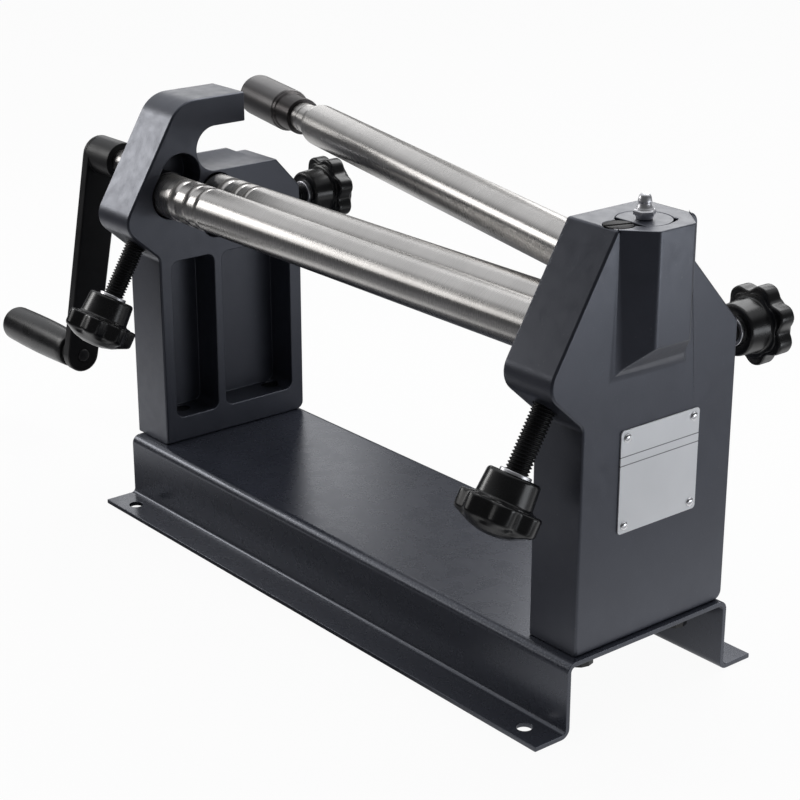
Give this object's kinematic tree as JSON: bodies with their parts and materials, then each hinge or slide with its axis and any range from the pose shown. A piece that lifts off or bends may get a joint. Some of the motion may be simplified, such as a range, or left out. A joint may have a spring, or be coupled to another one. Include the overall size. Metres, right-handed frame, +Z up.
{
  "type": "slip roll",
  "caption": "Slip roll on a bent sheet base: lower rolls on screw-adjusted blocks, a top roll that swings out of an open hook, star knobs on threaded studs, and a crank.",
  "frame": {"origin": "centre of the bounding box, at the underside of the base flanges", "axes": "+X along the rolls towards the standard with the swivel, +Y to the back, where the top roll swings out, +Z up"},
  "size_m": [0.5814, 0.2162, 0.259],
  "materials": {
    "grey_paint": "satin powder coat over a cast or bent surface",
    "roll_steel": "turned and ground",
    "dark_steel": "burnished, dark",
    "black_oxide": "black oxide",
    "zinc_plate": "bright zinc",
    "plate_aluminium": "satin",
    "black_plastic": "moulded, half gloss",
    "black_paint": "half gloss",
    "bearing_iron": "machined, oiled"
  },
  "bodies": {
    "frame": {"base_channel": "grey_paint", "left_standard": "grey_paint", "right_standard": "grey_paint", "swivel_stop_screw": "black_oxide", "nameplate": "plate_aluminium", "nameplate_rivet_1": "plate_aluminium", "nameplate_rivet_2": "plate_aluminium", "nameplate_rivet_3": "plate_aluminium", "nameplate_rivet_4": "plate_aluminium", "base_bolt_left_front": "black_oxide", "base_bolt_left_back": "black_oxide", "base_bolt_right_front": "black_oxide", "base_bolt_right_back": "black_oxide", "base_washer_left_front": "black_oxide", "base_washer_left_back": "black_oxide", "base_washer_right_front": "black_oxide", "base_washer_right_back": "black_oxide"},
    "swivel": {"swivel_block": "grey_paint", "grease_nipple": "zinc_plate"},
    "top_roll_body": {"top_roll": "roll_steel", "top_roll_sleeve": "dark_steel"},
    "front_carriage": {"front_left_block": "bearing_iron", "front_right_block": "bearing_iron"},
    "front_roll_body": {"front_roll": "roll_steel"},
    "front_left_screw": {"front_left_stud": "black_oxide", "front_left_knob": "black_plastic", "front_left_knob_insert": "zinc_plate"},
    "front_right_screw": {"front_right_stud": "black_oxide", "front_right_knob": "black_plastic", "front_right_knob_insert": "zinc_plate"},
    "rear_carriage": {"rear_left_block": "bearing_iron", "rear_right_block": "bearing_iron"},
    "rear_roll_body": {"rear_roll": "roll_steel", "crank_arm": "black_paint", "crank_set_screw": "black_oxide", "crank_pin": "black_oxide"},
    "crank_grip_body": {"crank_grip": "black_plastic"},
    "rear_left_wedge": {"rear_left_wedge_pin": "bearing_iron"},
    "rear_right_wedge": {"rear_right_wedge_pin": "bearing_iron"},
    "rear_left_screw": {"rear_left_stud": "black_oxide", "rear_left_knob": "black_plastic", "rear_left_knob_insert": "zinc_plate"},
    "rear_right_screw": {"rear_right_stud": "black_oxide", "rear_right_knob": "black_plastic", "rear_right_knob_insert": "zinc_plate"}
  },
  "joints": [
    {"name": "top_roll_swing", "type": "hinge", "parent": "frame", "child": "swivel", "pos_m": [0.27017, -0.01153, 0.2164], "axis": [0, 0, 1], "range_deg": [-12.7, 13.3]},
    {"name": "top_roll_spin", "type": "hinge", "parent": "swivel", "child": "top_roll_body", "pos_m": [0.27017, -0.01153, 0.2164], "axis": [0.9732, -0.23, 0], "continuous": true},
    {"name": "front_left_knob_turn", "type": "hinge", "parent": "front_carriage", "child": "front_left_screw", "pos_m": [-0.08983, -0.04283, 0.1926], "axis": [0, 0.515, 0.8572], "range_deg": [-0.5, 2469.07]},
    {"name": "front_right_knob_turn", "type": "hinge", "parent": "front_carriage", "child": "front_right_screw", "pos_m": [0.25917, -0.04283, 0.1926], "axis": [0, 0.515, 0.8572], "range_deg": [-0.5, 2469.07]},
    {"name": "front_roll_adjust", "type": "slide", "parent": "frame", "child": "front_carriage", "axis": [0, 0.515, 0.8572], "range_m": [0, 0.012]},
    {"name": "front_roll_spin", "type": "hinge", "parent": "front_carriage", "child": "front_roll_body", "pos_m": [-0.07533, -0.04283, 0.1926], "axis": [1, 0, 0], "continuous": true},
    {"name": "rear_left_knob_turn", "type": "hinge", "parent": "rear_left_wedge", "child": "rear_left_screw", "pos_m": [-0.08983, 0.03547, 0.174], "axis": [0, -1, 0], "range_deg": [-2138.35, 641.85]},
    {"name": "rear_right_knob_turn", "type": "hinge", "parent": "rear_right_wedge", "child": "rear_right_screw", "pos_m": [0.25917, 0.03547, 0.174], "axis": [0, -1, 0], "range_deg": [-2138.35, 641.85]},
    {"name": "rear_left_wedge_slide", "type": "slide", "parent": "frame", "child": "rear_left_wedge", "axis": [0, -1, 0], "range_m": [-0.0104, 0.00313]},
    {"name": "rear_right_wedge_slide", "type": "slide", "parent": "frame", "child": "rear_right_wedge", "axis": [0, -1, 0], "range_m": [-0.0104, 0.00313]},
    {"name": "rear_roll_adjust", "type": "slide", "parent": "frame", "child": "rear_carriage", "axis": [0, 0, 1], "range_m": [-0.006, 0.0018]},
    {"name": "rear_roll_spin", "type": "hinge", "parent": "rear_carriage", "child": "rear_roll_body", "pos_m": [-0.07533, -0.01153, 0.1884], "axis": [1, 0, 0], "continuous": true},
    {"name": "crank_grip_spin", "type": "hinge", "parent": "rear_roll_body", "child": "crank_grip_body", "pos_m": [-0.25033, -0.03523, 0.05926], "axis": [1, 0, 0], "continuous": true}
  ],
  "couplings": [
    {"joint": "front_left_knob_turn", "follows": "front_roll_adjust", "rad_per_m": 3590.4},
    {"joint": "front_right_knob_turn", "follows": "front_roll_adjust", "rad_per_m": 3590.4},
    {"joint": "rear_left_knob_turn", "follows": "rear_roll_adjust", "rad_per_m": 6218.7},
    {"joint": "rear_right_knob_turn", "follows": "rear_roll_adjust", "rad_per_m": 6218.7},
    {"joint": "rear_left_wedge_slide", "follows": "rear_roll_adjust", "ratio": 1.7321},
    {"joint": "rear_right_wedge_slide", "follows": "rear_roll_adjust", "ratio": 1.7321}
  ]
}
